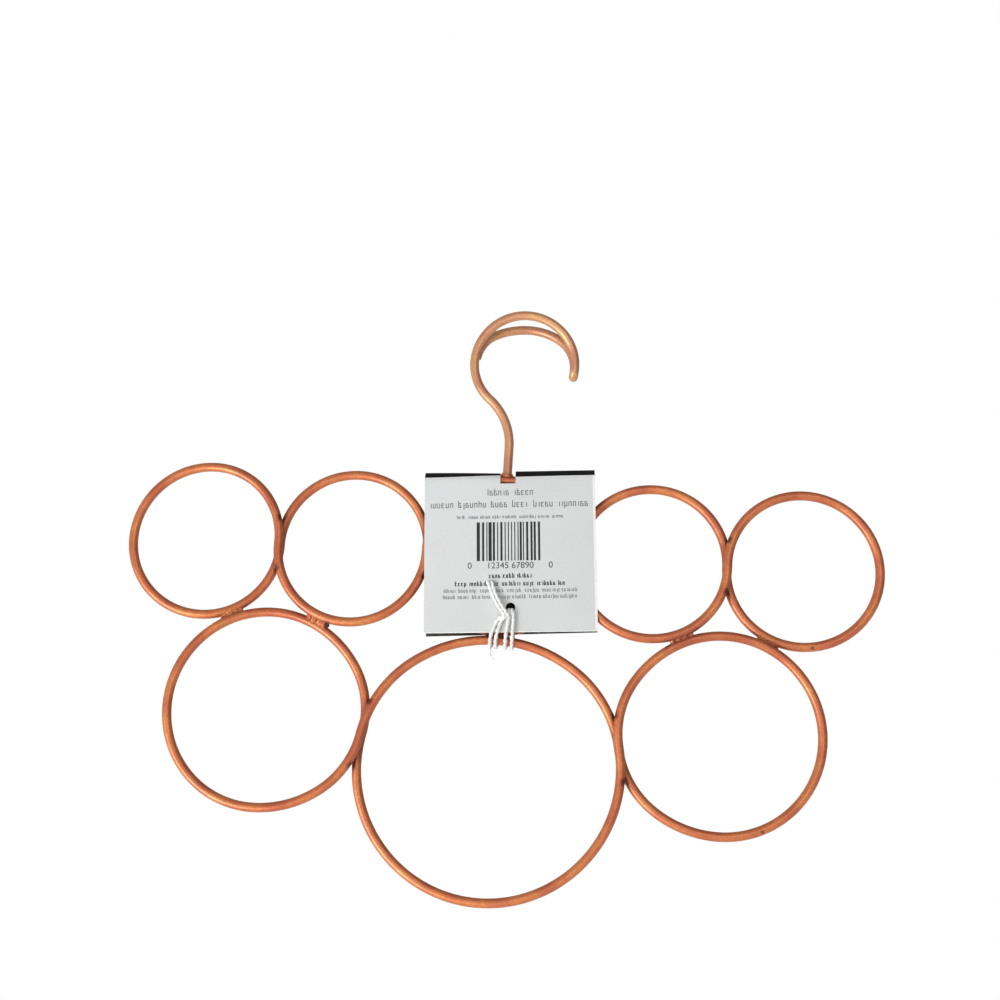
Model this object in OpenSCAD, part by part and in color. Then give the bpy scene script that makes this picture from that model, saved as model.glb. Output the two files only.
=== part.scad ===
// Wire scarf hanger: two chains of welded loops, a doubled wire hook and a tied card.
// X runs along the rows of loops, Z is up, and the printed side of the card faces -Y.
// The origin is the seat inside the top of the hook, where it hangs on a rod.

/* [Wire] */
// Diameter of the coated wire that every loop and the hook are bent from
wire_d = 4.4; // [3.4:0.1:5.2]
// Space between two wires where they lie against each other
wire_gap = 0.1; // [0.05:0.05:0.4]

/* [Upper row of loops] */
// Distance from one upper loop to the next
loop_pitch = 70.8; // [62:0.2:78]
// Straight length of both wires where two neighbouring loops meet
joint_len = 1.4; // [0.6:0.2:4]

/* [Lower row of loops] */
// Diameter of the two side loops, along the middle of the wire
side_loop_d = 90.8; // [84:0.2:98]
// How far each side loop is drawn out towards the big loop
side_reach = 2.2; // [0:0.1:4]
// How far the top of the big loop is pressed flat under the middle upper loop
big_press = 2.4; // [0:0.1:4]

/* [Hook] */
// Diameter of the hook, along the middle of its front arm
hook_d = 48.8; // [36:0.2:60]
// Height of the front arm over the hook's centre
hook_rise = 23.2; // [18:0.2:30]
// Height of the hook's centre over the top of the middle loop
hook_h = 58.5; // [52:0.5:76]
// Distance of the hook's centre to the right of its stem
hook_off = 5; // [0:0.2:10]
// Distance of the stem to the right of the middle of the hanger
stem_off = 0.6; // [-2:0.1:2]
// Radius of the bend between the stem and the hook
stem_bend_r = 31; // [20:0.5:36]
// Angle that the tip of the hook reaches below the level of its centre
tip_drop = 6; // [0:1:25]
// Distance between the hook's two arms at its top
arm_spread = 14.2; // [10:0.2:22]
// How far the rear arm lies inside the front arm at the top of the hook
arm_inset = 2.4; // [1:0.1:4]
// How far it lies inside the front arm at the tip and at its own end
end_inset = 0.3; // [0.1:0.1:2]
// Angle above the level of the centre at which the rear arm ends on the stem
arm_end = 8; // [4:1:16]

/* [Welds] */
// Thickness of a weld between two wires
weld_d = 2.8; // [2.4:0.1:3.4]
// Length of a weld between two loops of one row
joint_weld_len = 7; // [4:0.5:12]
// Length of a weld between the upper and the lower row
row_weld_len = 9; // [5:0.5:14]
// How much wider than the stem the weld around its foot is
foot_weld_over = 0.8; // [0.4:0.1:1]
// How far the stem's foot and the rear arm's end are sunk in their welds
weld_sink = 0.6; // [0.2:0.1:1]

/* [Card] */
// Width of the folded card
card_w = 80.8; // [74:0.2:88]
// Height of the folded card, over the fold
card_h = 78.2; // [77:0.2:82]
// Thickness of the card
card_t = 0.5; // [0.3:0.05:0.8]
// How far the middle of the fold lies below the wire at the top of the middle loop
fold_drop = 0.7; // [0:0.1:1]
// Room between the wires and the fold around them
card_room = 0.2; // [0.1:0.05:0.6]
// Angle that the card leans at, top to the left
card_lean = 3.9; // [2:0.1:6]
// Distance of the card's middle to the right of its notch
card_off = 0.8; // [0:0.1:2]
// Distance of the notch's middle to the right of the stem
notch_off = 0.6; // [0:0.1:0.8]
// Width of the notch that lets the stem through the fold
notch_w = 7.2; // [6:0.1:10]
// Depth of that notch under the top of the fold
notch_h = 7; // [6:0.1:10]
// Diameter of the punched hole for the string
hole_d = 4.4; // [4.4:0.1:6]
// Height of that hole over the card's lower edge
hole_up = 11.7; // [11.3:0.1:12.3]

/* [String] */
// Thickness of the string
string_d = 1.5; // [1:0.1:1.6]
// Thickness of its knot
knot_d = 4.2; // [3.6:0.1:4.4]

/* [Hidden] */
$fn = 48;

up = [0, 0, 1];
right = [1, 0, 0];
no_length = 1e-4;
wire_step = wire_d + wire_gap;
depth = wire_step / 2;
collar_over = 0.6 * wire_gap;
collar_len = 0.6;
loop_r = loop_pitch / 2;
half_joint = joint_len / 2;
mid_loop_top = loop_r + half_joint;

// The side loops rest in the dips of the upper row, and the big loop fills the room between them
side_r = side_loop_d / 2;
side_x = 1.5 * loop_pitch;
side_z = -half_joint - sqrt(pow(loop_r + side_r + wire_step, 2) - pow(loop_r, 2));
big_top_z = -mid_loop_top - wire_step;
big_circle_top = big_top_z + big_press;
room_top = side_z - big_circle_top;
room_side = side_r + side_reach;
big_r = (pow(side_x, 2) + pow(room_top, 2) - pow(room_side, 2)) / (2 * (room_side - room_top));
big_z = big_circle_top - big_r;
join_angle = asin((side_z - big_z) / (room_side + big_r));
join_x = big_r * cos(join_angle);
join_z = big_z + big_r * sin(join_angle);
end_x = side_x + side_r;
side_slope = depth / (end_x - join_x);
big_slope = depth / join_x;
dip_angle = atan2(-half_joint - side_z, loop_r);

hook_r = hook_d / 2;
hook_z = mid_loop_top + hook_h;
hook_x = stem_off + hook_off;
seat_z = hook_z + hook_rise - arm_inset / 2 - wire_d / 2;
bend_x = stem_off - stem_bend_r;
bend_z = hook_z - sqrt(pow(hook_r + stem_bend_r, 2) - pow(hook_off + stem_bend_r, 2));

card_inner_r = norm([depth, fold_drop]) + wire_d / 2 + card_room;
card_outer_r = card_inner_r + card_t;
fold_z = mid_loop_top - fold_drop;
card_bottom = fold_z + card_outer_r - card_h;
notch_x = (stem_off + mid_loop_top * sin(card_lean)) / cos(card_lean) + notch_off;
cut_over = 1;

// The string's route, set out from the middle of the upper row. From the loose end it runs down
// to the knot, down the front of the card, under the wires, up the back and through the hole,
// and then makes a second such turn beside the knot.
string_end = [[-4.5, -6.4, -14.6], [-2.8, -6.5, -18], [-0.8, -6.7, -21.6], [1.6, -7, -24.8], [3.6, -7.4, -26.6]];
string_knot = [4, -7.5, -29];
string_turns = [
    [3.2, -7, -31.5], [1.4, -6.4, -33.6], [0, -6.2, -36.2], [-1, -6.1, -38.9], [-1.5, -4.9, -41.2],
    [-1.5, -2.3, -42.9], [-1.4, 0, -43.8], [-1.3, 2.3, -42.9], [-1.1, 4.9, -41.2], [-0.6, 6.1, -38.9],
    [1, 6.3, -35], [3, 6.3, -31], [4.9, 6.2, -28], [5.5, 5.4, -26.5], [5.5, 2, -26.4], [5.5, -2, -26.4],
    [5.5, -5.3, -26.4], [6.2, -6.4, -27.4], [7, -6.5, -28.9], [7.1, -6.3, -32], [6.9, -6.2, -35.5],
    [6.7, -6.1, -38.9], [6.5, -4.9, -41.2], [6.4, -2.3, -43], [6.4, 0, -44], [6.5, 2.3, -43],
    [6.7, 4.9, -41.2], [6.9, 6.1, -38.9], [7.1, 6.3, -35], [7.2, 6.3, -31], [7.1, 6.2, -27.2],
    [6.9, 5.4, -25.5], [6.9, 2, -25.3], [6.9, -2, -25.3], [6.9, -6.7, -25.3],
];
string_frayed = [[-1.4, -0.3, -43.9], [-1.1, -0.8, -45.8], [-0.5, -1, -48], [0.1, -1, -50]];
knot_len = 3.2;
frayed_d = string_d / 2;
string_sides = 8;

// Direction of a strand that is heading along v and crosses from front to back at a given slope
function sloped(v, slope) = let (s = [v.x, slope * v.x, v.z]) s / norm(s);
// Point in depth y on a circle around [x, z], and the anticlockwise direction there
function on_circle(x, z, r, angle, y) = [x + r * cos(angle), y, z + r * sin(angle)];
function ccw(angle) = [-sin(angle), 0, cos(angle)];

// Two arcs that share a direction join any two stations of a wire. This is how far
// each arc's tangent reaches, from a station heading along a to v further on, heading along b.
function reach(v, a, b) =
    let (t = a + b, d = 1 - a * b)
    d < no_length * no_length ? v * v / (4 * (v * a)) : (sqrt(pow(v * t, 2) + 2 * d * (v * v)) - v * t) / (2 * d);

// Places its children at p, with their Z axis along v
module along(p, v) {
    side = cross(v, abs(v.y) < 0.9 ? [0, 1, 0] : right);
    n = side / norm(side);
    m = cross(v, n);
    multmatrix([[n.x, m.x, v.x, p.x], [n.y, m.y, v.y, p.y], [n.z, m.z, v.z, p.z]])
        children();
}

// A rod of wire from p to q that leaves p heading along a, straight or in an arc
module bend(p, a, q) {
    v = q - p;
    side = v - (v * a) * a;
    if (norm(side) < no_length) {
        along(p, a)
            cylinder(d = wire_d, h = norm(v));
    } else {
        n = side / norm(side);
        turn = 2 * atan2(norm(side), v * a);
        r = norm(side) / (1 - cos(turn));
        c = p + r * n;
        m = cross(a, n);
        multmatrix([[-n.x, a.x, m.x, c.x], [-n.y, a.y, m.y, c.y], [-n.z, a.z, m.z, c.z]])
            rotate_extrude(angle = turn)
                translate([r, 0])
                    circle(d = wire_d);
    }
}

// The seam between two bends is closed by a collar a hair thicker than the wire
module collar(p, v) {
    along(p, v)
        cylinder(d = wire_d + collar_over, h = collar_len, center = true);
}

// A wire through stations, each a point and the direction in which the wire passes it. One
// bend joins two stations where it can, and otherwise two that meet in between.
module wire(stations) {
    for (i = [0 : len(stations) - 2]) {
        p = stations[i][0];
        a = stations[i][1];
        q = stations[i + 1][0];
        b = stations[i + 1][1];
        v = q - p;
        l = reach(v, a, b);
        middle = (p + l * a + q - l * b) / 2;
        heading = (v - l * (a + b)) / norm(v - l * (a + b));
        if (i > 0)
            collar(p, a);
        if (norm(2 * (v * a) / (v * v) * v - a - b) < no_length) {
            bend(p, a, q);
        } else {
            bend(p, a, middle);
            collar(middle, heading);
            bend(middle, heading, q);
        }
    }
}

// A lump of weld metal with round ends, its middle at p and its length along v
module weld(p, v, length) {
    angle = atan2(v.x, v.z);
    translate(p)
        rotate([0, angle, 0])
            for (end = [-1, 1])
                translate([0, 0, end < 0 ? -(length - weld_d) / 2 : 0]) {
                    cylinder(d = weld_d, h = (length - weld_d) / 2);
                    translate([0, 0, end < 0 ? 0 : (length - weld_d) / 2])
                        sphere(d = weld_d);
                }
}

// Everything is set out from the middle of the upper row and then hung from the seat of the hook
module from_row() {
    translate([-hook_x, 0, -seat_z])
        children();
}

// Stations of one wire of the upper row. It is at one depth where loops meet and crosses
// to the middle at the far ends. first is 1 where it runs over the first loop, and -1 under it.
function upper_stations(first, y) = [
    [[-2.5 * loop_pitch, 0, 0], first * up],
    for (i = [0 : 4])
        let (s = i % 2 == 0 ? first : -first, x = (i - 2.5) * loop_pitch, z = s * half_joint)
        each [[[x, i == 0 ? 0 : y, z], s * up], [[x + loop_pitch, i == 4 ? 0 : y, z], -s * up]],
    [[2.5 * loop_pitch, 0, 0], -first * up],
];

module upper_wire_mid_top() {
    color("#d98a60")
        from_row()
            wire(upper_stations(1, -depth));
}

module upper_wire_mid_bottom() {
    color("#d98a60")
        from_row()
            wire(upper_stations(-1, depth));
}

// Stations of the left half of a lower wire, up to the joint with the big loop. s is 1 for the
// wire over the side loop and -1 for the one under it, and it meets the joint at depth y.
function joint_stations(s, y) =
    let (v = s * [-sin(join_angle), 0, -cos(join_angle)], p = [-join_x, y, join_z])
    [[p - half_joint * v, v], [p + half_joint * v, v]];
function side_stations(s) =
    let (angle = s > 0 ? dip_angle : -90, v = -s * ccw(angle), p = on_circle(-side_x, side_z, side_r, angle, 0))
    [[[-end_x, 0, side_z], s * up], [[p.x, s * side_slope * (end_x + p.x), p.z], sloped(v, s * side_slope)]];
// The right half is the left half turned half a turn about the Z axis and run the other way
function turned(stations) = [
    for (i = [len(stations) - 1 : -1 : 0])
        let (p = stations[i][0], v = stations[i][1])
        [[-p.x, -p.y, p.z], [v.x, v.y, -v.z]]
];
function lower_stations(s, z) =
    let (left = concat(side_stations(s), joint_stations(s, s * depth)))
    concat(left, [[[0, 0, z], sloped(right, -s * big_slope)]], turned(left));

module lower_wire_big_top() {
    color("#cf7c52")
        from_row()
            wire(lower_stations(-1, big_top_z));
}

module lower_wire_big_bottom() {
    color("#cf7c52")
        from_row()
            wire(lower_stations(1, big_z - big_r));
}

// The stem stands on the middle upper loop, bends left and sweeps over as the front arm. It
// doubles back at the tip, and the rear arm returns behind it to the stem.
module hook_wire() {
    turn_up = [-(hook_z - bend_z), 0, hook_off + stem_bend_r] / (hook_r + stem_bend_r);
    s_bend = [bend_x, 0, bend_z] + stem_bend_r * [turn_up.z, 0, -turn_up.x];
    front_tip = on_circle(hook_x, hook_z, hook_r, -tip_drop, -depth);
    rear_tip = on_circle(hook_x, hook_z, hook_r - end_inset, -tip_drop, depth);
    down = -ccw(-tip_drop);
    rear_end = on_circle(hook_x, hook_z, hook_r - end_inset, 180 - arm_end, depth);
    color("#dfa06a")
        from_row()
            wire([
                [[stem_off, -depth, mid_loop_top + wire_d / 2 - weld_sink / 2], up],
                [[stem_off, -depth, bend_z], up],
                [[s_bend.x, -depth, s_bend.z], turn_up],
                [[hook_x - hook_r, -depth, hook_z], up],
                [[hook_x, -arm_spread / 2, hook_z + hook_rise], right],
                [front_tip, down],
                [rear_tip, -down],
                [[hook_x, arm_spread / 2, hook_z + hook_rise - arm_inset], -right],
                [rear_end, ccw(180 - arm_end)],
            ]);
}

module upper_joint_welds() {
    color("#9c4f2c")
        from_row()
            for (i = [-1.5 : 1 : 1.5])
                weld([i * loop_pitch, 0, 0], up, joint_weld_len);
}

module lower_joint_welds() {
    color("#9c4f2c")
        from_row()
            for (s = [-1, 1])
                weld([s * join_x, 0, join_z], [-s * sin(join_angle), 0, cos(join_angle)], joint_weld_len);
}

// Depth of the upper row's wires and of the lower wire over the side loops, at a given x
function upper_depth(x) = depth * min(1, (2.5 * loop_pitch - abs(x)) / loop_pitch);
function lower_depth(x) = -sign(x) * side_slope * (end_x - abs(x));

module row_welds() {
    outward = [cos(dip_angle), 0, sin(dip_angle)];
    color("#9c4f2c")
        from_row() {
            for (s = [-1, 1], t = [-1, 1]) {
                toward = [t * outward.x, 0, outward.z];
                p = [s * side_x, 0, side_z] + (side_r + wire_step / 2) * toward;
                upper_y = (s * t > 0 ? 1 : -1) * upper_depth(p.x);
                weld([p.x, (upper_y + lower_depth(p.x)) / 2, p.z], [toward.z, 0, -toward.x], row_weld_len);
            }
            weld([0, depth / 2, -mid_loop_top - wire_step / 2], right, row_weld_len);
        }
}

module hook_foot_weld() {
    color("#b9683c")
        from_row()
            translate([stem_off, -depth, mid_loop_top + wire_d / 2 - weld_sink])
                cylinder(d1 = wire_d + foot_weld_over, d2 = wire_d, h = weld_sink + weld_d / 2);
}

module hook_arm_weld() {
    p = on_circle(hook_x, hook_z, hook_r - end_inset / 2, 180 - arm_end, 0);
    color("#8e4526")
        from_row()
            weld(p, ccw(180 - arm_end), joint_weld_len);
}

// The fold's round top, and the straight sides of the two panels under it
module card_outline(r, drop) {
    circle(r = r);
    translate([-r, -drop])
        square([2 * r, drop]);
}

// One sheet folded over the middle upper loop, with a notch in the fold and a hole near the lower edge
module folded_card() {
    middle = notch_x + card_off;
    panel_h = fold_z - card_bottom;
    through = 2 * (card_outer_r + cut_over);
    color("#dfe3e2")
        from_row()
            rotate([0, -card_lean, 0])
                difference() {
                    translate([middle - card_w / 2, 0, fold_z])
                        rotate([90, 0, 90])
                            linear_extrude(card_w)
                                difference() {
                                    card_outline(card_outer_r, panel_h);
                                    card_outline(card_inner_r, panel_h + cut_over);
                                }
                    translate([notch_x - notch_w / 2, -through / 2, fold_z + card_outer_r - notch_h])
                        cube([notch_w, through, notch_h + cut_over]);
                    translate([middle, through / 2, card_bottom + hole_up])
                        rotate([90, 0, 0])
                            cylinder(d = hole_d, h = through);
                }
}

// A limp string through places, each a point and a thickness. Each ring of corners stands
// square to the mean heading there.
module string_run(places) {
    last = len(places) - 1;
    rings = [
        for (i = [0 : last])
            let (v = places[min(i + 1, last)][0] - places[max(i - 1, 0)][0], side = cross(v, right))
            let (n = side / norm(side), m = cross(v / norm(v), n))
            for (k = [0 : string_sides - 1])
                let (angle = 360 * (k + 0.5) / string_sides)
                places[i][0] + places[i][1] / 2 * (cos(angle) * n + sin(angle) * m)
    ];
    walls = [
        for (i = [0 : last - 1], k = [0 : string_sides - 1])
            let (a = i * string_sides + k, b = i * string_sides + (k + 1) % string_sides)
            each [[a, b + string_sides, b], [a, a + string_sides, b + string_sides]]
    ];
    start = [for (k = [0 : string_sides - 1]) k];
    end = [for (k = [string_sides - 1 : -1 : 0]) last * string_sides + k];
    polyhedron(points = rings, faces = concat([start], walls, [end]));
}

function even(points, d) = [for (p = points) [p, d]];

module tie_string() {
    swelling = [
        for (s = [-1 : 0.5 : 1])
            [string_knot - s * knot_len / 2 * up, string_d + (knot_d - string_d) * (1 - s * s)]
    ];
    color("#f4f2ec")
        from_row() {
            string_run(concat(even(string_end, string_d), swelling, even(string_turns, string_d)));
            string_run(even(string_frayed, frayed_d));
        }
}

upper_wire_mid_top();
upper_wire_mid_bottom();
lower_wire_big_top();
lower_wire_big_bottom();
hook_wire();
upper_joint_welds();
lower_joint_welds();
row_welds();
hook_foot_weld();
hook_arm_weld();
folded_card();
tie_string();
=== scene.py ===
"""The looks of a copper-coated wire scarf hanger with a folded card tied to it.

Lengths are in millimetres and are turned into the frame's metres where a mesh is made. The hanger is
set out from the middle of its upper row of loops, as in its CAD source, and hung from the hook's seat.
"""
import math
import random

import bmesh
import bpy
import numpy as np
from mathutils import Matrix, Vector, kdtree, noise


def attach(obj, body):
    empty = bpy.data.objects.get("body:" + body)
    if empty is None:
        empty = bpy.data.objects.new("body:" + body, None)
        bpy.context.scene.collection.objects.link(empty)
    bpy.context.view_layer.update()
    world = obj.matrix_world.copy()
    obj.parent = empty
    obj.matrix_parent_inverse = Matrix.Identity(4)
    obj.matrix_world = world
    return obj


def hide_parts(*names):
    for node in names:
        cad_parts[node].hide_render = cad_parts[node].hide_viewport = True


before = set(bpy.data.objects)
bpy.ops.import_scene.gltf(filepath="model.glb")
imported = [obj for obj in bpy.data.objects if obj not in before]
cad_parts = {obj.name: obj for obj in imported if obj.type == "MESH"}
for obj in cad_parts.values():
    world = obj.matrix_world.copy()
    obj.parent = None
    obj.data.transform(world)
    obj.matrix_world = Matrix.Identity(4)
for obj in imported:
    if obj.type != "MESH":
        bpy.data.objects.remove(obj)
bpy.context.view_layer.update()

MM = 0.001
UP = Vector((0, 0, 1))
RIGHT = Vector((1, 0, 0))
BACK = Vector((0, 1, 0))

# Driving sizes, the same as in the CAD source
WIRE_D = 4.4
WIRE_GAP = 0.1
LOOP_PITCH = 70.8
JOINT_LEN = 1.4
SIDE_LOOP_D = 90.8
SIDE_REACH = 2.2
BIG_PRESS = 2.4
HOOK_D = 48.8
HOOK_RISE = 23.2
HOOK_H = 58.5
HOOK_OFF = 5
STEM_OFF = 0.6
STEM_BEND_R = 31
TIP_DROP = 6
ARM_SPREAD = 14.2
ARM_INSET = 2.4
END_INSET = 0.3
ARM_END = 8
CARD_W = 80.8
CARD_H = 78.2
CARD_T = 0.5
FOLD_DROP = 0.7
CARD_ROOM = 0.2
CARD_LEAN = 3.9
CARD_OFF = 0.8
NOTCH_OFF = 0.6
NOTCH_W = 7.2
NOTCH_H = 7
HOLE_D = 4.4
HOLE_UP = 11.7
STRING_D = 1.5

# Places that follow from them
WIRE_R = WIRE_D / 2
WIRE_STEP = WIRE_D + WIRE_GAP
DEPTH = WIRE_STEP / 2
LOOP_R = LOOP_PITCH / 2
MID_TOP = LOOP_R + JOINT_LEN / 2
SIDE_R = SIDE_LOOP_D / 2
SIDE_X = 1.5 * LOOP_PITCH
SIDE_Z = -JOINT_LEN / 2 - math.sqrt((LOOP_R + SIDE_R + WIRE_STEP) ** 2 - LOOP_R ** 2)
BIG_TOP = -MID_TOP - WIRE_STEP
ROOM_TOP = SIDE_Z - BIG_TOP - BIG_PRESS
ROOM_SIDE = SIDE_R + SIDE_REACH
BIG_R = (SIDE_X ** 2 + ROOM_TOP ** 2 - ROOM_SIDE ** 2) / (2 * (ROOM_SIDE - ROOM_TOP))
BIG_Z = BIG_TOP + BIG_PRESS - BIG_R
JOIN_ANGLE = math.asin((SIDE_Z - BIG_Z) / (ROOM_SIDE + BIG_R))
JOIN_X = BIG_R * math.cos(JOIN_ANGLE)
JOIN_Z = BIG_Z + BIG_R * math.sin(JOIN_ANGLE)
END_X = SIDE_X + SIDE_R
DIP_ANGLE = math.atan2(-JOINT_LEN / 2 - SIDE_Z, LOOP_R)
HOOK_R = HOOK_D / 2
HOOK_Z = MID_TOP + HOOK_H
HOOK_X = STEM_OFF + HOOK_OFF
SEAT = Vector((HOOK_X, 0, HOOK_Z + HOOK_RISE - ARM_INSET / 2 - WIRE_R))
CARD_IN_R = math.hypot(DEPTH, FOLD_DROP) + WIRE_R + CARD_ROOM
CARD_OUT_R = CARD_IN_R + CARD_T
FOLD_Z = MID_TOP - FOLD_DROP
CARD_BOTTOM = FOLD_Z + CARD_OUT_R - CARD_H
LEAN = math.radians(CARD_LEAN)
NOTCH_X = (STEM_OFF + MID_TOP * math.sin(LEAN)) / math.cos(LEAN) + NOTCH_OFF
CARD_MID = NOTCH_X + CARD_OFF


def place(p):
    """A point set out from the middle of the upper row, in the frame's metres."""
    return (Vector(p) - SEAT) * MM


def vec(*xyz):
    return Vector(xyz)


# Wire routes

NO_LENGTH = 1e-4
SAME_HEADING = 1e-9
ROUTE_STEP = 1.5
HOOK_ROUTE_STEP = 0.8
STEM_SINK = 0.3


def arc_points(p, a, q, step):
    """Points and headings from p, heading along a, to q: a straight run or one arc."""
    v = q - p
    side = v - v.dot(a) * a
    if side.length < NO_LENGTH:
        count = max(1, round(v.length / step))
        return [(p + v * i / count, a) for i in range(count + 1)]
    n = side.normalized()
    turn = 2 * math.atan2(side.length, v.dot(a))
    r = side.length / (1 - math.cos(turn))
    count = max(2, round(r * turn / step))
    angles = [turn * i / count for i in range(count + 1)]
    return [(p + r * (1 - math.cos(t)) * n + r * math.sin(t) * a, math.cos(t) * a + math.sin(t) * n)
            for t in angles]


def wire_route(stations, step=ROUTE_STEP):
    """Points and headings along a wire through stations, bent in arcs that share their headings."""
    route = []
    for (p, a), (q, b) in zip(stations, stations[1:]):
        v = q - p
        t = a + b
        d = 1 - a.dot(b)
        if d < SAME_HEADING:
            reach = v.dot(v) / (4 * v.dot(a))
        else:
            reach = (math.sqrt(v.dot(t) ** 2 + 2 * d * v.dot(v)) - v.dot(t)) / (2 * d)
        middle = (p + reach * a + q - reach * b) / 2
        heading = (v - reach * t).normalized()
        one_bend = (2 * v.dot(a) / v.dot(v) * v - a - b).length < NO_LENGTH
        spans = [(p, a, q)] if one_bend else [(p, a, middle), (middle, heading, q)]
        for span in spans:
            route += arc_points(*span, step)[1 if route else 0:]
    return route


def upper_stations(first, y):
    """One wire of the upper row. first is 1 where it runs over the first loop and -1 under it."""
    stations = [(vec(-2.5 * LOOP_PITCH, 0, 0), first * UP)]
    for i in range(5):
        s = first if i % 2 == 0 else -first
        x = (i - 2.5) * LOOP_PITCH
        z = s * JOINT_LEN / 2
        if i > 0:
            stations.append((vec(x, y, z), s * UP))
        if i < 4:
            stations.append((vec(x + LOOP_PITCH, y, z), -s * UP))
    return stations + [(vec(2.5 * LOOP_PITCH, 0, 0), -first * UP)]


def on_circle(x, z, r, degrees, y):
    """A point on an upright circle, with 0 degrees on its right."""
    t = math.radians(degrees)
    return vec(x + r * math.cos(t), y, z + r * math.sin(t))


def ccw(degrees):
    """The heading on such a circle at an angle, turning over the top from right to left."""
    t = math.radians(degrees)
    return vec(-math.sin(t), 0, math.cos(t))


def lower_stations(s, z):
    """One wire of the lower row. s is 1 where it runs over the side loops, and it passes x = 0 at z."""
    side_slope = DEPTH / (END_X - JOIN_X)
    angle = math.degrees(DIP_ANGLE) if s > 0 else -90
    v = -s * ccw(angle)
    p = on_circle(-SIDE_X, SIDE_Z, SIDE_R, angle, 0)
    p.y = s * side_slope * (END_X + p.x)
    down = -s * vec(math.sin(JOIN_ANGLE), 0, math.cos(JOIN_ANGLE))
    joint = vec(-JOIN_X, s * DEPTH, JOIN_Z)
    left = [
        (vec(-END_X, 0, SIDE_Z), s * UP),
        (p, vec(v.x, s * side_slope * v.x, v.z).normalized()),
        (joint - JOINT_LEN / 2 * down, down),
        (joint + JOINT_LEN / 2 * down, down),
    ]
    turned = [(vec(-p.x, -p.y, p.z), vec(v.x, v.y, -v.z)) for p, v in reversed(left)]
    return left + [(vec(0, 0, z), vec(JOIN_X, -s * DEPTH, 0).normalized())] + turned


def hook_stations():
    """The stem, the front arm, the hairpin tip and the rear arm."""
    bend = vec(STEM_OFF - STEM_BEND_R, 0, 0)
    bend.z = HOOK_Z - math.sqrt((HOOK_R + STEM_BEND_R) ** 2 - (HOOK_OFF + STEM_BEND_R) ** 2)
    heading = vec(bend.z - HOOK_Z, 0, HOOK_OFF + STEM_BEND_R) / (HOOK_R + STEM_BEND_R)
    rear_r = HOOK_R - END_INSET
    tip = -ccw(-TIP_DROP)
    return [
        (vec(STEM_OFF, -DEPTH, MID_TOP + WIRE_R - STEM_SINK), UP),
        (vec(STEM_OFF, -DEPTH, bend.z), UP),
        (bend + STEM_BEND_R * vec(heading.z, 0, -heading.x) - DEPTH * BACK, heading),
        (vec(HOOK_X - HOOK_R, -DEPTH, HOOK_Z), UP),
        (vec(HOOK_X, -ARM_SPREAD / 2, HOOK_Z + HOOK_RISE), RIGHT),
        (on_circle(HOOK_X, HOOK_Z, HOOK_R, -TIP_DROP, -DEPTH), tip),
        (on_circle(HOOK_X, HOOK_Z, rear_r, -TIP_DROP, DEPTH), -tip),
        (vec(HOOK_X, ARM_SPREAD / 2, HOOK_Z + HOOK_RISE - ARM_INSET), -RIGHT),
        (on_circle(HOOK_X, HOOK_Z, rear_r, 180 - ARM_END, DEPTH), ccw(180 - ARM_END)),
    ]


def joint_line(s):
    """The heading in which the big loop and a side loop run side by side, with s 1 on the right."""
    return vec(-s * math.sin(JOIN_ANGLE), 0, math.cos(JOIN_ANGLE))


def row_touch(s, t):
    """Where a loop of the upper row meets a side loop, in the plane of the loops, and the heading
    of both there. s is 1 for the right side loop, and t for the loop on its right."""
    toward = vec(t * math.cos(DIP_ANGLE), 0, math.sin(DIP_ANGLE))
    p = vec(s * SIDE_X, 0, SIDE_Z) + (SIDE_R + WIRE_STEP / 2) * toward
    return p, vec(toward.z, 0, -toward.x)


WIRES = {
    "upper_wire_mid_top": wire_route(upper_stations(1, -DEPTH)),
    "upper_wire_mid_bottom": wire_route(upper_stations(-1, DEPTH)),
    "lower_wire_big_top": wire_route(lower_stations(-1, BIG_TOP)),
    "lower_wire_big_bottom": wire_route(lower_stations(1, BIG_Z - BIG_R)),
    "hook_wire": wire_route(hook_stations(), HOOK_ROUTE_STEP),
}


# Mesh building

SHARP = math.radians(40)
PLY_DEEP = 0.16
PLY_THIN = 0.06


def new_object(name, mesh, material, body="root"):
    obj = bpy.data.objects.new(name, mesh)
    bpy.context.scene.collection.objects.link(obj)
    mesh.materials.append(material)
    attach(obj, body)
    return obj


def smooth(mesh):
    mesh.polygons.foreach_set("use_smooth", [True] * len(mesh.polygons))


def smooth_with_edges(mesh):
    """Shades the mesh smooth, with its cut edges sharp."""
    smooth(mesh)
    bm = bmesh.new()
    bm.from_mesh(mesh)
    for edge in bm.edges:
        if len(edge.link_faces) == 2 and edge.calc_face_angle() > SHARP:
            edge.smooth = False
    bm.to_mesh(mesh)
    bm.free()


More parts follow.
